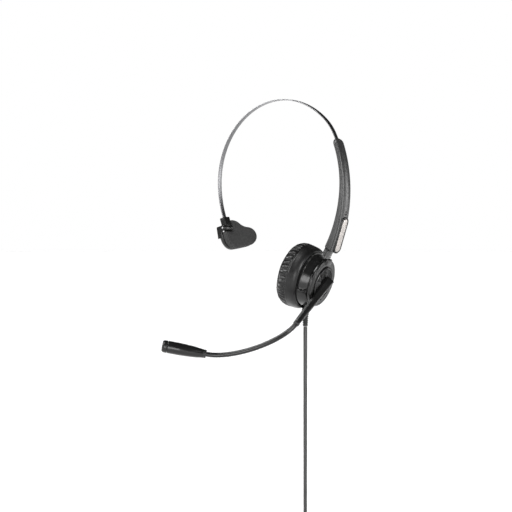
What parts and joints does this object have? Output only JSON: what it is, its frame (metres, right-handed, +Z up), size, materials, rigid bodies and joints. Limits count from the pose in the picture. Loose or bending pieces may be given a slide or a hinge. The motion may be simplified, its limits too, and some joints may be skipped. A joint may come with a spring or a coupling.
{
  "type": "office headset",
  "caption": "Single-ear office headset with a sprung steel headband, a T-bar temple pad, a pleated ear cushion, a turning boom with a bendable neck and microphone, and a tied cord.",
  "frame": {"origin": "middle of the wearer's head, between the temple pad and the ear cushion, a millimetre above the boom's pivot", "axes": "+Z up, +X towards the ear cup, -Y the way the wearer faces"},
  "size_m": [0.1268, 0.1277, 0.4218],
  "materials": {
    "steel": "brushed",
    "satin_black": "satin",
    "gloss_black": "gloss",
    "pad_foam": "matte foam",
    "silver_badge": "satin silver",
    "driver_frame": "satin",
    "speaker_cloth": "matte woven",
    "leatherette": "soft grained",
    "rubber_black": "matte",
    "tie_fabric": "woven",
    "contact_metal": "polished"
  },
  "bodies": {
    "headband": {"headband_strap": "steel", "strap_end_stop": "satin_black", "strap_clip": "gloss_black"},
    "temple_pad": {"pad_backplate": "gloss_black", "pad_foam": "pad_foam", "pad_hinge_pin": "steel"},
    "slider_arm": {"arm_outer_shell": "gloss_black", "arm_inner_shell": "satin_black", "friction_spring": "steel", "arm_screw_upper": "steel", "arm_screw_lower": "steel", "arm_badge": "silver_badge", "arm_foot": "gloss_black"},
    "cup_swivel": {"swivel_stud": "steel"},
    "ear_cup": {"pivot_housing": "gloss_black", "cup_housing": "gloss_black", "speaker_magnet": "steel", "speaker_driver": "driver_frame", "speaker_baffle": "satin_black", "speaker_cloth": "speaker_cloth", "ear_cushion": "leatherette", "strain_relief": "rubber_black", "cord_lead": "rubber_black", "cord_coil": "rubber_black", "cord_tie": "tie_fabric", "cord_tail": "rubber_black", "plug_body": "rubber_black", "plug_contacts": "contact_metal"},
    "boom": {"boom_hub": "gloss_black", "boom_screw": "steel", "wave_washer": "steel", "boom_lever": "gloss_black", "gooseneck_root": "rubber_black"},
    "mic_end": {"gooseneck_tip": "rubber_black", "mic_body": "gloss_black", "mic_element": "driver_frame", "mic_cap": "rubber_black"}
  },
  "joints": [
    {"name": "pad_tilt", "type": "hinge", "parent": "headband", "child": "temple_pad", "pos_m": [-0.0355, 0, 0.04041], "axis": [0, 1, 0], "range_deg": [-15, 15]},
    {"name": "arm_slide", "type": "hinge", "parent": "headband", "child": "slider_arm", "pos_m": [0.0005, 0, 0.0741], "axis": [0, 1, 0], "range_deg": [0, 18]},
    {"name": "cup_turn", "type": "hinge", "parent": "slider_arm", "child": "cup_swivel", "pos_m": [0.06458, 0.00128, 0.0207], "axis": [0.2842, 0.0527, 0.9573], "range_deg": [-15, 15]},
    {"name": "cup_tilt", "type": "hinge", "parent": "cup_swivel", "child": "ear_cup", "pos_m": [0.06458, 0.00128, 0.0207], "axis": [-0.1824, 0.9832, 0], "range_deg": [-8, 8]},
    {"name": "boom_turn", "type": "hinge", "parent": "ear_cup", "child": "boom", "pos_m": [0.0604, 0.0005, -0.001], "axis": [0.9413, 0.1746, -0.289], "range_deg": [-95, 30]},
    {"name": "mic_bend", "type": "hinge", "parent": "boom", "child": "mic_end", "pos_m": [0.04034, -0.0539, -0.04691], "axis": [-0.3513, 0.793, -0.4977], "range_deg": [-25, 25]}
  ]
}
